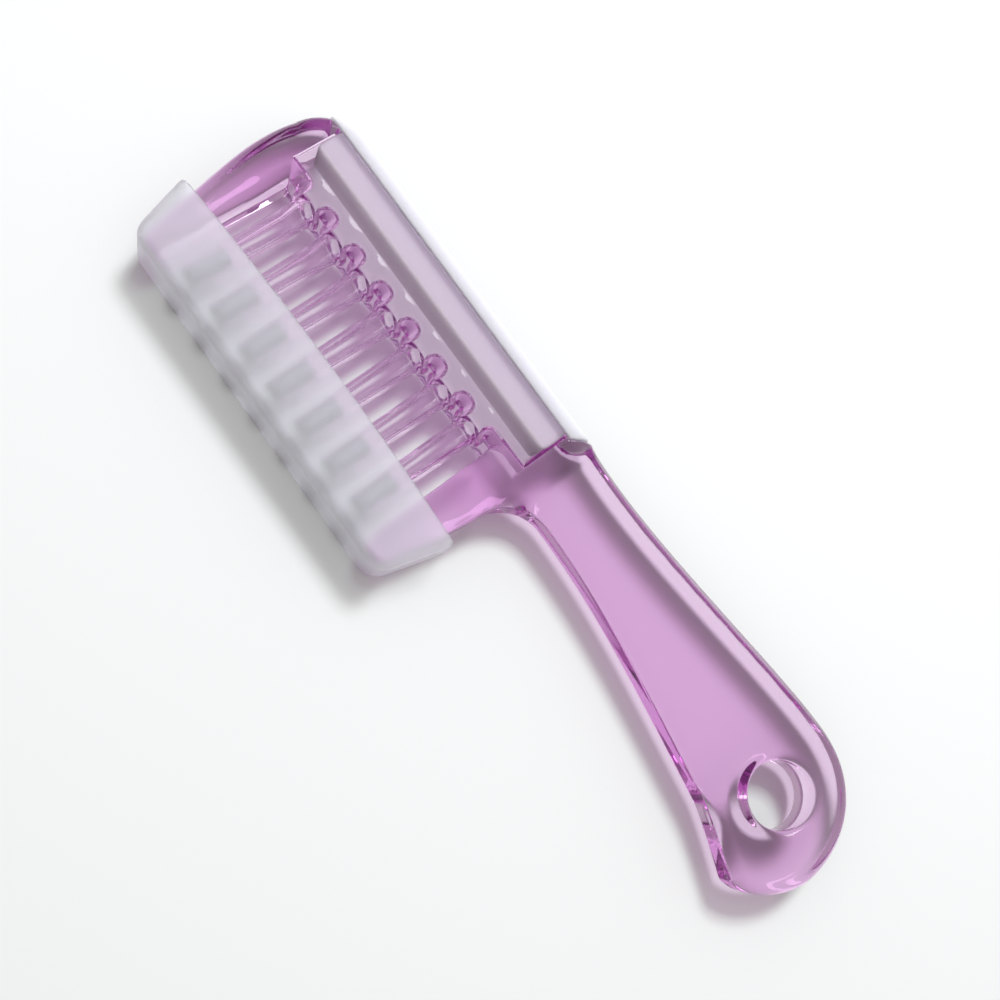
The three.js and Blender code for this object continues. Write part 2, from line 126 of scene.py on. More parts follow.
# A plate with that outline, which reaches half its thickness to each side and has rounded edges.
def plate(flat, z, half, edge):
    across, up = flat + edge, np.abs(z) - (half - edge)
    return np.minimum(np.maximum(across, up), 0) + np.hypot(np.maximum(across, 0), np.maximum(up, 0)) - edge


def join(a, b, soft):
    near = np.maximum(soft - np.abs(a - b), 0) / soft
    return np.minimum(a, b) - near * near * soft / 4


def keep_within(a, b, soft):
    return -join(-a, -b, soft)


def cut(a, b, soft):
    return keep_within(a, -b, soft)


def ramp(value, low, high):
    t = np.clip((value - low) / (high - low), 0, 1)
    return t * t * (3 - 2 * t)


def frame_outline():
    outer_tip, outer_round = (-81.2, -29.2), 2.7
    inner_tip, inner_round = (-6.1, -28.4), 3.5
    corner = (HEAD_CORNER - HEAD_REACH, LID_TOP - HEAD_CORNER)
    start, crest, nose = (2.3, 19.4), (79.0, CREST_HEIGHT), (HANDLE_REACH, 2.0)
    beak, kink = (89.4, -13.2), (72.6, -7.4)
    neck, neck_round = (10.5, 0.2), 10.3
    return outline_of(
        [(outer_tip[0] + outer_round, 0), (outer_tip[0] + outer_round, outer_tip[1])],
        arc(outer_tip, outer_round, 0, -168.6, 16),
        sweep([(-83.85, -29.73), (-90.3, -1.9), (HEAD_LIP - HEAD_REACH, corner[1])], 24),
        arc(corner, HEAD_CORNER - HEAD_LIP, 180, 90, 24),
        sweep([start, (24.0, 16.8), (60.4, CREST_HEIGHT), crest], 48),
        sweep([crest, (93.8, CREST_HEIGHT), (HANDLE_REACH, 12.9), nose], 32),
        sweep([nose, (HANDLE_REACH, -5.1), (94.9, beak[1]), beak], 24),
        sweep([beak, (76.3, -7.9), kink], 12),
        sweep([kink, (52.6, -4.1), (32.0, neck[1]), neck], 40),
        arc((neck[0], neck[1] - neck_round), neck_round, 90, 180, 24),
        sweep([(neck[0] - neck_round, neck[1] - neck_round), (0.2, -14.0), (-2.65, -27.8)], 12),
        arc(inner_tip, inner_round, 10, -180, 20),
        [(inner_tip[0] - inner_round, 0)],
    )


def head_outline():
    return outline_of(
        [(HEAD_OVERRUN, 0), (HEAD_FOOT_CORNER - HEAD_REACH, 0)],
        arc((HEAD_FOOT_CORNER - HEAD_REACH, HEAD_FOOT_CORNER), HEAD_FOOT_CORNER, -90, -180, 12),
        arc((HEAD_CORNER - HEAD_REACH, LID_TOP - HEAD_CORNER), HEAD_CORNER, 180, 90, 24),
        [(HEAD_OVERRUN, LID_TOP)],
    )


# All that lies over the spine's seat, up to the slant where the handle starts.
def seat_outline(gap, end_gap):
    past_head, over_seat = -110, 8
    foot = FLANGE_FOOT - end_gap
    return outline_of(
        [(past_head, SPINE_HEIGHT + gap), (foot + FLANGE_SLANT * gap, SPINE_HEIGHT + gap)],
        [(foot + FLANGE_SLANT * over_seat, SPINE_HEIGHT + over_seat), (past_head, SPINE_HEIGHT + over_seat)],
    )


def tank_outline():
    first, last = TOOTH_PLACES[0] - TOOTH_PITCH / 2, TOOTH_PLACES[-1] + TOOTH_PITCH / 2
    open_top = LID_TOP + 1
    domes = [arc((x - TOOTH_PITCH / 2, TANK_SUMP), DOME_RADIUS, 180, 0, 16) for x in TOOTH_PLACES[1:]]
    return outline_of(
        [(TANK_START, open_top), (TANK_START, TANK_FLOOR)],
        sweep([(first, TANK_FLOOR), (first + DOME_RADIUS, TANK_FLOOR), (first + DOME_RADIUS, TANK_SUMP)], 8),
        *domes,
        sweep([(last - DOME_RADIUS, TANK_SUMP), (last - DOME_RADIUS, TANK_FLOOR), (last, TANK_FLOOR)], 8),
        [(TANK_END, TANK_FLOOR), (TANK_END, open_top)],
    )


FRAME_LINE, HEAD_LINE, TANK_LINE = frame_outline(), head_outline(), tank_outline()
SEAT_LINE = seat_outline(0, 0)


# An upright column with an oval section, which changes between stations of height, half width, half depth.
def to_column(x, y, z, stations):
    heights = [s[0] for s in stations]
    wide = np.interp(y, heights, [s[1] for s in stations])
    deep = np.interp(y, heights, [s[2] for s in stations])
    return (np.sqrt((x / wide) ** 2 + (z / deep) ** 2) - 1) * np.minimum(wide, deep)


def to_nearest_tooth(x):
    place = np.clip(np.round((x - TOOTH_PLACES[0]) / TOOTH_PITCH), 0, len(TOOTH_PLACES) - 1)
    return x - TOOTH_PLACES[0] - place * TOOTH_PITCH


# The guards and the neck swell from the handle's thickness to the head's between these places.
GUARD_SWELL, NECK_SWELL = (-18, -1), (-5, 1)
BRIDGE_START, BRIDGE_END = -76, -12


def comb_body_field(x, y, z):
    swell = ramp(y, *GUARD_SWELL) * ramp(-x, *NECK_SWELL)
    half = HANDLE_HALF + (HEAD_HALF - HANDLE_HALF) * swell
    body = plate(to_outline(x, y, FRAME_LINE), z, half, HANDLE_EDGE)
    bridge = plate(to_outline(x, y, HEAD_LINE), z, HEAD_HALF, HEAD_EDGE)
    body = np.minimum(body, bridge + np.maximum(x - BRIDGE_END, 0) + np.maximum(BRIDGE_START - x, 0))
    hole = np.hypot(x - HOLE_CENTRE[0], y - HOLE_CENTRE[1]) - HOLE_RADIUS
    body = cut(body, hole, HOLE_EDGE * 2)
    body = cut(body, to_outline(x, y, SEAT_LINE), SEAT_EDGE)
    along = to_nearest_tooth(x)
    shaft = to_column(along, y, z, [(TOOTH_TIP, TOOTH_TIP_RADIUS, TOOTH_TIP_RADIUS),
                                    (0, TOOTH_ROOT, TOOTH_ROOT_DEPTH)])
    shaft = cut(shaft, y - TOOTH_TIP, TIP_EDGE)
    shaft = np.maximum(shaft, y - TOOTH_TOP)
    body = join(body, shaft, ROOT_FILLET)
    body = cut(body, plate(to_outline(x, y, TANK_LINE), z, TANK_HALF, TANK_EDGE), TANK_RIM)
    funnel = to_column(along, y, z, [(BORE_TOP, BORE_RADIUS, BORE_RADIUS),
                                     (TANK_SUMP, FUNNEL_WIDTH, FUNNEL_DEPTH)])
    funnel = np.maximum(funnel, y - TANK_SUMP - 1)
    body = cut(body, funnel, FUNNEL_RIM)
    socket = np.maximum(np.hypot(along, z) - SOCKET_RADIUS, y - SOCKET_TOP)
    return cut(body, socket, SOCKET_RIM)


def grid(*runs):
    lines = [np.arange(start, stop, step) for start, stop, step in runs]
    return np.concatenate(lines)


# Skins a shape: a point in each cell that its surface crosses, and a face round each edge that it crosses.
# The points are then evened out, drawn back to the surface now and then, and given the surface's slope.
def skin_of(field, xs, ys, zs, even_turns=12, draw_every=4, shading_step=0.15):
    values = field(xs[:, None, None], ys[None, :, None], zs[None, None, :])
    axes = (xs, ys, zs)
    cells = tuple(n - 1 for n in values.shape)
    total, count, crossings = np.zeros(cells + (3,)), np.zeros(cells, np.int16), []
    for axis in range(3):
        low = np.take(values, range(cells[axis]), axis)
        high = np.take(values, range(1, cells[axis] + 1), axis)
        crosses = (low < 0) != (high < 0)
        share = np.where(crosses, low / np.where(crosses, low - high, 1), 0)
        places = []
        for a, line in enumerate(axes):
            shape = [1, 1, 1]
            shape[a] = -1
            if a == axis:
                places.append(line[:-1].reshape(shape) + share * np.diff(line).reshape(shape))
            else:
                places.append(np.broadcast_to(line.reshape(shape), crosses.shape))
        u, v = [a for a in range(3) if a != axis]
        for du in (0, 1):
            for dv in (0, 1):
                part = [slice(None)] * 3
                part[u], part[v] = slice(du, cells[u] + du), slice(dv, cells[v] + dv)
                hit = crosses[tuple(part)]
                count += hit
                for a in range(3):
                    total[..., a] += np.where(hit, places[a][tuple(part)], 0)
        crossings.append((axis, u, v, np.argwhere(crosses), low))
    used = count > 0
    number = np.full(cells, -1)
    number[used] = np.arange(used.sum())
    points = total[used] / count[used][:, None]
    faces = []
    for axis, u, v, edges, low in crossings:
        inner = (edges[:, [u, v]] > 0) & (edges[:, [u, v]] < (cells[u], cells[v]))
        edges = edges[inner.all(1)]
        ring = []
        for du, dv in ((1, 1), (0, 1), (0, 0), (1, 0)):
            cell = edges.copy()
            cell[:, u] -= du
            cell[:, v] -= dv
            ring.append(number[tuple(cell.T)])
        quads = np.column_stack(ring)
        outward = (low[tuple(edges.T)] < 0) == (axis != 1)
        faces.append(np.where(outward[:, None], quads, quads[:, ::-1]))
    faces = np.vstack(faces)
    ends, others = faces.ravel(), np.roll(faces, 1, 1).ravel()
    size = len(points)
    hits = np.bincount(ends, minlength=size) + np.bincount(others, minlength=size)
    for turn in range(even_turns):
        spread = np.column_stack([
            np.bincount(ends, points[others, a], size) + np.bincount(others, points[ends, a], size)
            for a in range(3)])
        points = (points + spread / hits[:, None]) / 2
        if (turn + 1) % draw_every == 0:
            points = points - to_surface(field, points)
    points = points - to_surface(field, points)
    return points, faces, slope_of(field, points, shading_step)


def slope_of(field, points, step):
    x, y, z = points.T
    return np.column_stack([
        field(x + step, y, z) - field(x - step, y, z),
        field(x, y + step, z) - field(x, y - step, z),
        field(x, y, z + step) - field(x, y, z - step)]) / (2 * step)


# The way from each point to the surface, no longer than the longest step.
def to_surface(field, points, slope_step=0.02, least_steep=0.25, longest=0.3):
    slope = slope_of(field, points, slope_step)
    steep = np.maximum((slope * slope).sum(1), least_steep)
    return slope * np.clip(field(*points.T) / steep, -longest, longest)[:, None]


def moulding(name, material, points, faces, normals=None):
    mesh = bpy.data.meshes.new(name)
    mesh.from_pydata(points / 1000 + np.array(ROOT), [], faces.tolist())
    mesh.shade_smooth()
    if normals is not None:
        mesh.normals_split_custom_set_from_vertices(normals / np.linalg.norm(normals, axis=1)[:, None])
    mesh.materials.append(material)
    piece = bpy.data.objects.new(name, mesh)
    bpy.context.scene.collection.objects.link(piece)
    return piece


def group(name, inputs, outputs):
    tree = bpy.data.node_groups.new(name, "ShaderNodeTree")
    for label, kind, value in inputs:
        socket = tree.interface.new_socket(label, in_out="INPUT", socket_type=kind)
        if value is not None:
            socket.default_value = value
    for label, kind in outputs:
        tree.interface.new_socket(label, in_out="OUTPUT", socket_type=kind)
    return tree, tree.nodes.new("NodeGroupInput"), tree.nodes.new("NodeGroupOutput")


def node(tree, kind, links=(), **settings):
    made = tree.nodes.new(kind)
    for key, value in settings.items():
        setattr(made, key, value)
    for socket, value in links:
        if isinstance(value, bpy.types.NodeSocket):
            tree.links.new(value, made.inputs[socket])
        else:
            made.inputs[socket].default_value = value
    return made


def worked_out(tree, operation, *values):
    return node(tree, "ShaderNodeMath", enumerate(values), operation=operation).outputs[0]


def ranged(tree, value, low, high, **settings):
    links = [("Value", value), ("From Min", low), ("From Max", high)]
    return node(tree, "ShaderNodeMapRange", links, **settings).outputs[0]


# The Mix node's sockets go by number, because those for colours and for plain values share their names.
def mixed(tree, share, first, second):
    return node(tree, "ShaderNodeMix", [(0, share), (6, first), (7, second)], data_type="RGBA").outputs[2]


def place_on_piece(tree):
    place = node(tree, "ShaderNodeTexCoord")
    return node(tree, "ShaderNodeSeparateXYZ", [(0, place.outputs["Object"])]).outputs


# The marks that a mould and handling leave: a slow unevenness in the face and fine rubs that dull it.
WAVE_SCALE, PATCH_SCALE = 90.0, 60.0
RUB_SCALE, RUB_TURN, RUB_DEPTHS = (260, 2600, 900), (0, 0, 0.5), (0.6, 0.8)
handled, given, kept = group(
    "moulded_and_handled",
    [("Place", "NodeSocketVector", None), ("Wave", "NodeSocketFloat", 1.0), ("Rub", "NodeSocketFloat", 0.1),
     ("Gloss", "NodeSocketFloat", 0.05)],
    [("Roughness", "NodeSocketFloat"), ("Height", "NodeSocketFloat")])
piece_place = ("Vector", given.outputs["Place"])
slow = node(handled, "ShaderNodeTexNoise", [piece_place, ("Scale", WAVE_SCALE), ("Detail", 1.0)])
stretched = node(handled, "ShaderNodeMapping", [piece_place, ("Scale", RUB_SCALE), ("Rotation", RUB_TURN)])
rubs = node(handled, "ShaderNodeTexNoise", [
    ("Vector", stretched.outputs[0]), ("Scale", 1.0), ("Detail", 3.0)])
patches = node(handled, "ShaderNodeTexNoise", [piece_place, ("Scale", PATCH_SCALE)])
sharp = ranged(handled, rubs.outputs["Fac"], *RUB_DEPTHS)
patchy = worked_out(handled, "MULTIPLY", sharp, patches.outputs["Fac"])
dulled = worked_out(handled, "MULTIPLY", patchy, given.outputs["Rub"])
rough = worked_out(handled, "ADD", dulled, given.outputs["Gloss"])
uneven = worked_out(handled, "MULTIPLY", slow.outputs["Fac"], given.outputs["Wave"])
handled.links.new(rough, kept.inputs["Roughness"])
handled.links.new(uneven, kept.inputs["Height"])


def finish(name, wave, rub, gloss, relief):
    material = bpy.data.materials.new(name)
    material.use_nodes = True
    tree = material.node_tree
    shader = tree.nodes["Principled BSDF"]
    place = node(tree, "ShaderNodeTexCoord")
    marks = node(tree, "ShaderNodeGroup", node_tree=handled)
    for label, value in (("Wave", wave), ("Rub", rub), ("Gloss", gloss)):
        marks.inputs[label].default_value = value
    tree.links.new(place.outputs["Object"], marks.inputs["Place"])
    tree.links.new(marks.outputs["Roughness"], shader.inputs["Roughness"])
    bump = node(tree, "ShaderNodeBump", [
        ("Strength", 1.0), ("Distance", relief), ("Height", marks.outputs["Height"])])
    tree.links.new(bump.outputs["Normal"], shader.inputs["Normal"])
    return material, tree, shader


# Lets a share of the light straight through to what lies under a clear or milky piece.
def shine_through(tree, shader, share):
    path = node(tree, "ShaderNodeLightPath")
    soft = worked_out(tree, "MAXIMUM", path.outputs["Is Shadow Ray"], path.outputs["Is Diffuse Ray"])
    passed = node(tree, "ShaderNodeBsdfTransparent", [("Color", share)])
    either = node(tree, "ShaderNodeMixShader", [(0, soft), (1, shader.outputs[0]), (2, passed.outputs[0])])
    tree.links.new(either.outputs[0], tree.nodes["Material Output"].inputs["Surface"])


# The flat faces let most of the light by, and the teeth less. Of the round edges off the row, those
# on the tooth side let a third by, and those on the spine's side bend it away, the lower half nearly all.
LAVENDER, LAVENDER_DENSITY = (0.79, 0.12, 0.77, 1), 39.0
BY_FACES, BY_TEETH, BY_TOOTH_SIDE = (0.96, 0.955, 0.96, 1), (0.62, 0.5, 0.62, 1), (0.3, 0.2, 0.28, 1)
BY_LOWER_SPINE, BY_UPPER_SPINE = (0.01, 0.005, 0.008, 1), (0.45, 0.36, 0.43, 1)
ROW_SPAN, SPINE_TURN, FACE_TURN = (0.0345, 0.044), (-0.3, 0.3), (0.7, 0.995)
SPINE_LOWER, SPINE_UPPER = ROOT.z + 0.0008, ROOT.z + 0.005

clear_lavender, tree, shader = finish("clear_lavender", wave=1.0, rub=0.1, gloss=0.012, relief=0.000008)
shader.inputs["Base Color"].default_value = (0.985, 0.97, 0.99, 1)
shader.inputs["Transmission Weight"].default_value = 1.0
shader.inputs["IOR"].default_value = 1.49
tint = node(tree, "ShaderNodeVolumeAbsorption", [("Color", LAVENDER), ("Density", LAVENDER_DENSITY)])
tree.links.new(tint.outputs[0], tree.nodes["Material Output"].inputs["Volume"])
skin = node(tree, "ShaderNodeNewGeometry")
facing = node(tree, "ShaderNodeSeparateXYZ", [(0, skin.outputs["Normal"])])
outward = worked_out(tree, "MULTIPLY_ADD", skin.outputs["Backfacing"], -2.0, 1.0)
spineward = worked_out(tree, "MULTIPLY", facing.outputs["Y"], outward)
level = worked_out(tree, "ABSOLUTE", facing.outputs["Z"])
on_comb = place_on_piece(tree)
from_row = worked_out(tree, "SUBTRACT", on_comb["X"], ROOT.x + ROW_CENTRE / 1000)
row_reach = worked_out(tree, "ABSOLUTE", from_row)
past_spine = mixed(tree, ranged(tree, on_comb["Z"], SPINE_LOWER, SPINE_UPPER), BY_LOWER_SPINE, BY_UPPER_SPINE)
past_edges = mixed(tree, ranged(tree, spineward, *SPINE_TURN), BY_TOOTH_SIDE, past_spine)
past_sides = mixed(tree, ranged(tree, row_reach, *ROW_SPAN), BY_TEETH, past_edges)
flat_face = ranged(tree, level, *FACE_TURN, interpolation_type="SMOOTHSTEP")
shine_through(tree, shader, mixed(tree, flat_face, past_sides, BY_FACES))

# The cells are finest along the head and at the tips and roots of the teeth, where the walls are thin.
comb_body = moulding("comb_moulding", clear_lavender, *skin_of(
    comb_body_field,
    grid((-91, 5, 0.4), (5, 73, 1.1), (73, 95, 0.6), (95, 103, 0.7)),
    grid((-34, -29.2, 0.8), (-29.2, -26.4, 0.4), (-26.4, -19.2, 0.8), (-19.2, -3, 0.8), (-3, 5.4, 0.4),
         (5.4, 25.5, 0.65)),
    np.linspace(-6.6, 6.6, 32)))
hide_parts("comb_body")
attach(comb_body, "comb")


# Ball holders: a soft grey sleeve pressed into each tooth's socket, whose nose closes in under the ball.
# The sleeve is turned round its own axis, and friction holds it in the clear plastic.
SLEEVE_RADIUS, SLEEVE_BORE, SLEEVE_TOP, SLEEVE_SIDES = 2.0, 1.6, -19.6, 40
NOSE_TOP, NOSE_END, NOSE_RADIUS, NOSE_LIP = -28.3, -29.4, 2.5, 1.37
BALL_RADIUS, BALL_HEIGHT = 1.5, -28.6
# Painted shade: the sleeve's grey goes darker at the ball. This stands in for the dark ball, and the shade
# round it, seen through the thin nose.
SHADED_GREY_AT_BALL, GREY_ABOVE = (0.05, 0.055, 0.075, 1), (0.2, 0.21, 0.25, 1)


def height_of(y):
    return ROOT.y + y / 1000


soft_grey, tree, shader = finish("soft_grey", wave=1.0, rub=0.2, gloss=0.32, relief=0.00002)
# Painted shade, darker towards the nose where the ball sits.
past_ball = ranged(tree, place_on_piece(tree)["Y"],
                   height_of(BALL_HEIGHT), height_of(BALL_HEIGHT + 2 * BALL_RADIUS))
tree.links.new(mixed(tree, past_ball, SHADED_GREY_AT_BALL, GREY_ABOVE), shader.inputs["Base Color"])
shader.inputs["Subsurface Weight"].default_value = 0.2
shader.inputs["Subsurface Radius"].default_value = (0.001, 0.001, 0.001)
shine_through(tree, shader, (0.6, 0.6, 0.62, 1))


def turned(name, profile, sides, place, material):
    turns = np.linspace(0, 2 * np.pi, sides, endpoint=False)
    rings = [[(place + r * math.cos(t), y, r * math.sin(t)) for r, y in profile] for t in turns]
    points = np.array([p for ring in rings for p in ring])
    count = len(profile)
    faces = np.array([[s * count + i, s * count + (i + 1) % count,
                       (s + 1) % sides * count + (i + 1) % count, (s + 1) % sides * count + i]
                      for s in range(sides) for i in range(count)])
    return moulding(name, material, points, faces)


sleeve_profile = [
    (NOSE_LIP, NOSE_END), (NOSE_LIP + 0.25, NOSE_END), (NOSE_LIP + 0.35, NOSE_END + 0.06),
    (NOSE_RADIUS - 0.05, NOSE_TOP - 0.16), (NOSE_RADIUS + 0.02, NOSE_TOP - 0.06), (NOSE_RADIUS, NOSE_TOP),
    (SLEEVE_RADIUS + 0.05, NOSE_TOP), (SLEEVE_RADIUS, NOSE_TOP + 0.05),
    (SLEEVE_RADIUS, SLEEVE_TOP - 0.15), (SLEEVE_RADIUS - 0.1, SLEEVE_TOP),
    (SLEEVE_BORE + 0.1, SLEEVE_TOP), (SLEEVE_BORE, SLEEVE_TOP - 0.1), (SLEEVE_BORE, BALL_HEIGHT + 0.3),
    (SLEEVE_BORE, BALL_HEIGHT), (SLEEVE_BORE - 0.04, BALL_HEIGHT - 0.4),
]
for i, x in enumerate(TOOTH_PLACES, 1):
    sleeve = turned(f"holder_sleeve_{i}", sleeve_profile, SLEEVE_SIDES, x, soft_grey)
    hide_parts(f"ball_holder_{i}")
    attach(sleeve, "comb")


# Ball springs: a coil of thin steel wire in each sleeve, which pushes the ball out against the nose.
# Each is wound from one wire and stands free between the tooth's seat and the ball.
WIRE_RADIUS, COIL_RADIUS, SPRING_TURNS, BALL_TRAVEL = 0.2, 1.1, 5.0, 0.8
SPRING_GAP = 0.15
SPRING_TOP = SOCKET_TOP - SPRING_GAP - WIRE_RADIUS
SPRING_FOOT = BALL_HEIGHT + math.sqrt((BALL_RADIUS + WIRE_RADIUS) ** 2 - COIL_RADIUS ** 2) + SPRING_GAP
STEPS_A_TURN, WIRE_SIDES, ALONG_TOOTH = 24, 10, (math.pi / 2, 0, 0)

spring_wire, tree, shader = finish("spring_wire", wave=1.0, rub=0.3, gloss=0.28, relief=0.00001)
shader.inputs["Base Color"].default_value = (0.48, 0.485, 0.5, 1)
shader.inputs["Metallic"].default_value = 1.0

coil = bpy.data.node_groups.new("wound_spring", "GeometryNodeTree")
coil.interface.new_socket("Geometry", in_out="OUTPUT", socket_type="NodeSocketGeometry")
for label, kind in (("Turns", "Float"), ("Coil Radius", "Float"), ("Wire Radius", "Float"),
                    ("Length", "Float"), ("Seat", "Vector"), ("Wire", "Material")):
    coil.interface.new_socket(label, in_out="INPUT", socket_type="NodeSocket" + kind)
asked = coil.nodes.new("NodeGroupInput")
spiral = node(coil, "GeometryNodeCurveSpiral", [
    ("Resolution", STEPS_A_TURN), ("Rotations", asked.outputs["Turns"]), ("Height", asked.outputs["Length"]),
    ("Start Radius", asked.outputs["Coil Radius"]), ("End Radius", asked.outputs["Coil Radius"])])
section = node(coil, "GeometryNodeCurvePrimitiveCircle", [
    ("Resolution", WIRE_SIDES), ("Radius", asked.outputs["Wire Radius"])])
wound = node(coil, "GeometryNodeCurveToMesh", [
    ("Curve", spiral.outputs[0]), ("Profile Curve", section.outputs[0]), ("Fill Caps", True)])
stood = node(coil, "GeometryNodeTransform", [
    ("Geometry", wound.outputs[0]), ("Translation", asked.outputs["Seat"]), ("Rotation", ALONG_TOOTH)])
smooth = node(coil, "GeometryNodeSetShadeSmooth", [("Geometry", stood.outputs[0])])
real = node(coil, "GeometryNodeRealizeInstances", [("Geometry", smooth.outputs[0])])
dressed = node(coil, "GeometryNodeSetMaterial", [
    ("Geometry", real.outputs[0]), ("Material", asked.outputs["Wire"])])
done = coil.nodes.new("NodeGroupOutput")
coil.links.new(dressed.outputs[0], done.inputs["Geometry"])


def grown(name, tree, values):
    maker = bpy.data.objects.new(name + "_maker", bpy.data.meshes.new(name + "_maker"))
    bpy.context.scene.collection.objects.link(maker)
    modifier = maker.modifiers.new("grow", "NODES")
    modifier.node_group = tree
    for item in tree.interface.items_tree:
        if item.item_type == "SOCKET" and item.in_out == "INPUT":
            modifier[item.identifier] = values[item.name]
    mesh = bpy.data.meshes.new_from_object(maker.evaluated_get(bpy.context.evaluated_depsgraph_get()))
    maker.modifiers.remove(modifier)
    bpy.data.objects.remove(maker)
    mesh.name = name
    piece = bpy.data.objects.new(name, mesh)
    bpy.context.scene.collection.objects.link(piece)
    return piece


for i, x in enumerate(TOOTH_PLACES, 1):
    spring = grown(f"wire_spring_{i}", coil, {
        "Turns": SPRING_TURNS, "Coil Radius": COIL_RADIUS / 1000, "Wire Radius": WIRE_RADIUS / 1000,
        "Length": (SPRING_TOP - SPRING_FOOT) / 1000, "Seat": ROOT + Vector((x, SPRING_TOP, 0)) / 1000,
        "Wire": spring_wire})
    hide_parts(f"ball_spring_{i}")
    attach(spring, f"press_{i}")
    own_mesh(spring)


# Roller balls: steel balls, ground and polished, that close the tips and roll the liquid out.
# Each is snapped into its sleeve from below and held there by the nose.
polished_steel, tree, shader = finish("polished_steel", wave=1.0, rub=0.2, gloss=0.1, relief=0.000005)
shader.inputs["Base Color"].default_value = (0.6, 0.61, 0.63, 1)
shader.inputs["Metallic"].default_value = 1.0
for i, x in enumerate(TOOTH_PLACES, 1):
    ball = bmesh.new()
    bmesh.ops.create_icosphere(ball, subdivisions=4, radius=BALL_RADIUS / 1000,
                               matrix=Matrix.Translation(ROOT + Vector((x, BALL_HEIGHT, 0)) / 1000))
    mesh = bpy.data.meshes.new(f"steel_ball_{i}")
    ball.to_mesh(mesh)
    ball.free()
    mesh.shade_smooth()
    mesh.materials.append(polished_steel)
    steel_ball = bpy.data.objects.new(f"steel_ball_{i}", mesh)
    bpy.context.scene.collection.objects.link(steel_ball)
    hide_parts(f"roller_ball_{i}")
    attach(steel_ball, f"ball_{i}")


# Tank lid: a strip of soft white silicone on the spine, with a plug that fills the tank's mouth.
# It is moulded in one, and only its own squeeze holds it in the tank.
LID_GAP, LID_END_GAP, LID_EDGE = 0.1, 0.3, 0.3
PLUG_START, PLUG_END = TANK_START + LID_END_GAP, TANK_END - LID_END_GAP
PLUG_FLOOR, PLUG_TOP, PLUG_EDGE, PLUG_CORNER = 9.0, 17.2, 0.6, 1.7
PLUG_LINE = outline_of(
    [(PLUG_START, PLUG_TOP), (PLUG_START, PLUG_FLOOR + PLUG_CORNER)],
    sweep([(PLUG_START, PLUG_FLOOR + PLUG_CORNER), (PLUG_START, PLUG_FLOOR),
           (PLUG_START + PLUG_CORNER, PLUG_FLOOR)], 8),
    sweep([(PLUG_END - PLUG_CORNER, PLUG_FLOOR), (PLUG_END, PLUG_FLOOR),
           (PLUG_END, PLUG_FLOOR + PLUG_CORNER)], 8),
    [(PLUG_END, PLUG_TOP)])
FLANGE_LINE = seat_outline(LID_GAP, LID_END_GAP)


def tank_lid_field(x, y, z):
    strip = plate(to_outline(x, y, HEAD_LINE), z, HEAD_HALF, HEAD_EDGE)
    flange = keep_within(strip, to_outline(x, y, FLANGE_LINE), LID_EDGE)
    plug = plate(to_outline(x, y, PLUG_LINE), z, TANK_HALF - LID_END_GAP, PLUG_EDGE)
    return join(flange, plug, LID_EDGE)


# Painted shade and painted light: the plug, down in the tank, is painted a little darker than the flange, and
# its foot, which faces away from the window, is painted palest.
LIT_FOOT_WHITE, SHADED_PLUG_WHITE, WHITE_FLANGE = (1.0, 0.97, 1.0, 1), (0.7, 0.67, 0.735, 1), (0.735, 0.73, 0.795, 1)
FOOT_FADE, FLANGE_FADE = (PLUG_FLOOR + 0.2, PLUG_FLOOR + 0.8), (SPINE_HEIGHT - 0.5, SPINE_HEIGHT + 1.5)

white_silicone, tree, shader = finish("white_silicone", wave=1.0, rub=0.2, gloss=0.6, relief=0.00003)
# The lid's colour carries the painted shade on the plug and the painted light on its foot.
lid_height = place_on_piece(tree)["Y"]
lid_shade_and_light = mixed(tree, ranged(tree, lid_height, *map(height_of, FLANGE_FADE)), SHADED_PLUG_WHITE, WHITE_FLANGE)
lid_shade_and_light = mixed(tree, ranged(tree, lid_height, *map(height_of, FOOT_FADE)), LIT_FOOT_WHITE, lid_shade_and_light)
tree.links.new(lid_shade_and_light, shader.inputs["Base Color"])
shader.inputs["Subsurface Weight"].default_value = 1.0
shader.inputs["Subsurface Radius"].default_value = (0.004, 0.004, 0.004)
shader.inputs["Subsurface Scale"].default_value = 1.0
shine_through(tree, shader, (0.8, 0.79, 0.81, 1))
tank_lid = moulding("silicone_lid", white_silicone, *skin_of(
    tank_lid_field, grid((-90, 4, 0.6)), grid((8, 21, 0.42)), np.linspace(-6.6, 6.6, 33)))
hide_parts("tank_lid")
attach(tank_lid, "lid")


# Tooth cover: a thin cap of frosted white plastic over the tips, wider at its bowed mouth.
# It is pushed on over the guards and stays there by friction.
COVER_WALL, COVER_HALF, COVER_EDGE = 1.3, 6.5, 2.4
COVER_FLOOR, COVER_CORNER, COVER_FALL = -33.6, 4.0, 1.2
COVER_MOUTH, COVER_BOW, COVER_MIDDLE, COVER_SPAN, MOUTH_EDGE = -17.3, 1.6, -43.3, 50, 0.5
OUTER_SIDE, OUTER_SIDE_HEIGHT, OUTER_FLARE = -85.8, -29.2, 0.3
INNER_SIDE, INNER_SIDE_HEIGHT, INNER_FLARE = -0.75, -28.4, 0.28
SIDE_INSET = 1.04


def cover_outline(inset):
    def outer(y):
        return OUTER_SIDE + inset * SIDE_INSET - (y - OUTER_SIDE_HEIGHT) * OUTER_FLARE

    def inner(y):
        return INNER_SIDE - inset * SIDE_INSET + (y - INNER_SIDE_HEIGHT) * INNER_FLARE

    floor, corner, past_mouth = COVER_FLOOR + inset, COVER_CORNER - inset, -8.0
    low = floor - COVER_FALL
    return outline_of(
        [(outer(past_mouth), past_mouth), (outer(floor + corner), floor + corner)],
        sweep([(outer(floor + corner), floor + corner), (outer(floor), floor),
               (outer(floor) + corner, floor)], 10),
        sweep([(inner(low) - corner, low), (inner(low), low),
               (inner(low + corner), low + corner)], 10),
        [(inner(past_mouth), past_mouth)])


COVER_OUT, COVER_IN = cover_outline(0), cover_outline(COVER_WALL)


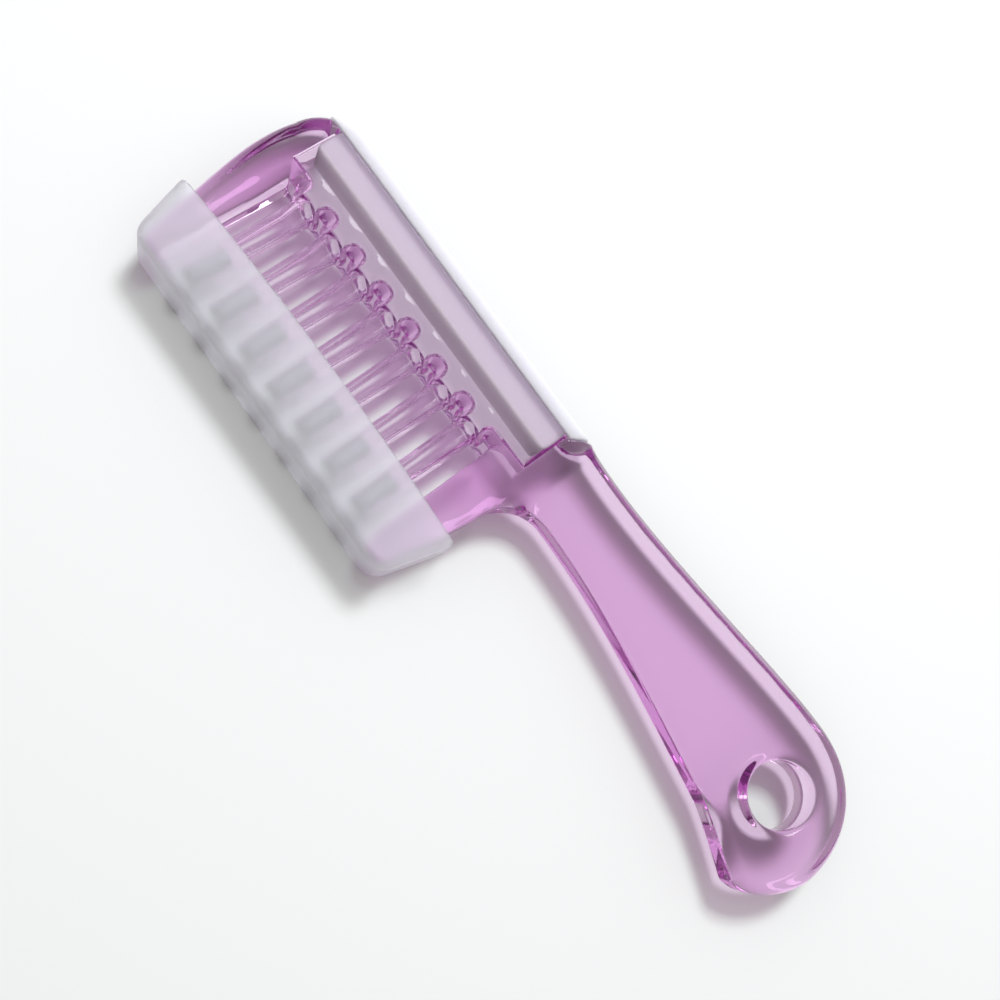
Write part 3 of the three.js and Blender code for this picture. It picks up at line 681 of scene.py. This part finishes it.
def tooth_cover_field(x, y, z):
    shell = plate(to_outline(x, y, COVER_OUT), z, COVER_HALF, COVER_EDGE)
    room = plate(to_outline(x, y, COVER_IN), z, COVER_HALF - COVER_WALL, COVER_EDGE - COVER_WALL)
    mouth = y - COVER_MOUTH + COVER_BOW * ((x - COVER_MIDDLE) / COVER_SPAN) ** 2
    return keep_within(np.maximum(shell, -room), mouth, MOUTH_EDGE)


# The wall at the floor is seen on edge, and lets less of the light by than the thin faces.
BY_FLOOR, BY_COVER = 0.6, 0.9
FLOOR_FADE = (COVER_FLOOR + 0.5, COVER_FLOOR + 3)

frosted_white, tree, shader = finish("frosted_white", wave=1.0, rub=0.15, gloss=0.54, relief=0.00004)
shader.inputs["Base Color"].default_value = (0.955, 0.955, 1.0, 1)
shader.inputs["Transmission Weight"].default_value = 0.78
shader.inputs["IOR"].default_value = 1.3
over_floor = ranged(tree, place_on_piece(tree)["Y"], *map(height_of, FLOOR_FADE))
by_cover = worked_out(tree, "MULTIPLY_ADD", over_floor, BY_COVER - BY_FLOOR, BY_FLOOR)
shine_through(tree, shader, by_cover)
tooth_cover = moulding("frosted_cover", frosted_white, *skin_of(
    tooth_cover_field, grid((-96, 7, 0.6)), grid((-36, -14, 0.5)), np.linspace(-7.1, 7.1, 35)))
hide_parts("tooth_cover")
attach(tooth_cover, "cover")


# The table, a plain white sheet that the comb lies on. The light of a wide window comes over it from past
# the spine, and the camera looks down at the comb from the side of the teeth.
TABLE_HALF = 3
TABLE_WHITE, TABLE_ROUGHNESS = (0.93, 0.935, 0.94, 1), 0.9
floor_mesh = bpy.data.meshes.new("table")
floor_mesh.from_pydata([(-TABLE_HALF, -TABLE_HALF, 0), (TABLE_HALF, -TABLE_HALF, 0),
                        (TABLE_HALF, TABLE_HALF, 0), (-TABLE_HALF, TABLE_HALF, 0)], [], [(0, 1, 2, 3)])
table = bpy.data.objects.new("table", floor_mesh)
bpy.context.scene.collection.objects.link(table)
white_sheet = bpy.data.materials.new("white_table")
white_sheet.use_nodes = True
sheet_shader = white_sheet.node_tree.nodes["Principled BSDF"]
sheet_shader.inputs["Base Color"].default_value = TABLE_WHITE
sheet_shader.inputs["Roughness"].default_value = TABLE_ROUGHNESS
floor_mesh.materials.append(white_sheet)

ROOM_WHITE, ROOM_SIDES, ROOM_NEAR, ROOM_FAR = (1.0, 0.98, 0.965, 1), (-1.0, 0.8), 0.31, 0.57
world = bpy.data.worlds.new("room")
bpy.context.scene.world = world
world.use_nodes = True
room = world.node_tree
around = node(room, "ShaderNodeTexCoord")
direction = node(room, "ShaderNodeSeparateXYZ", [(0, around.outputs["Generated"])])
to_window = ranged(room, direction.outputs["Y"], *ROOM_SIDES)
strength = worked_out(room, "MULTIPLY_ADD", to_window, ROOM_FAR - ROOM_NEAR, ROOM_NEAR)
room.nodes["Background"].inputs["Color"].default_value = ROOM_WHITE
room.links.new(strength, room.nodes["Background"].inputs["Strength"])

WINDOW_WHITE = (0.97, 0.99, 1.0)
for name, place, size, energy, mirrored in (("window", (-0.22, 0.47, 0.81), 0.24, 6.9, False),
                                            ("window_frame", (-0.29, 0.62, 0.69), 0.4, 3.5, True)):
    light = bpy.data.lights.new(name, "AREA")
    light.size, light.energy, light.color = size, energy, WINDOW_WHITE
    lamp = bpy.data.objects.new(name, light)
    bpy.context.scene.collection.objects.link(lamp)
    lamp.location = place
    lamp.rotation_euler = (-Vector(place)).to_track_quat("-Z", "Y").to_euler()
    lamp.visible_glossy = lamp.visible_transmission = mirrored
    lamp.visible_diffuse = not mirrored

TILT, TURN, DISTANCE = math.radians(20), math.radians(53.5), 0.246
LENS_WIDTHS, AIM_DROP, NEAREST = 1.19, 0.0033, 0.01
back = Vector((0, -math.sin(TILT), math.cos(TILT)))
level, rise = Vector((1, 0, 0)), Vector((0, math.cos(TILT), math.sin(TILT)))
right = level * math.cos(TURN) + rise * math.sin(TURN)
up = rise * math.cos(TURN) - level * math.sin(TURN)
camera = bpy.data.objects.new("camera", bpy.data.cameras.new("camera"))
bpy.context.scene.collection.objects.link(camera)
camera.data.lens = camera.data.sensor_width * LENS_WIDTHS
camera.data.clip_start = NEAREST
aim = ROOT + Vector((0, -AIM_DROP, 0))
turned_to_aim = Matrix((right, up, back)).transposed().to_4x4()
camera.matrix_world = Matrix.Translation(aim + back * DISTANCE) @ turned_to_aim
bpy.context.scene.camera = camera

# Light goes round many times inside the clear plastic before it leaves.
bpy.context.scene.view_settings.view_transform = "Standard"
bpy.context.scene.cycles.max_bounces = 72
bpy.context.scene.cycles.glossy_bounces = 64
bpy.context.scene.cycles.transmission_bounces = 72
bpy.context.scene.cycles.transparent_max_bounces = 48
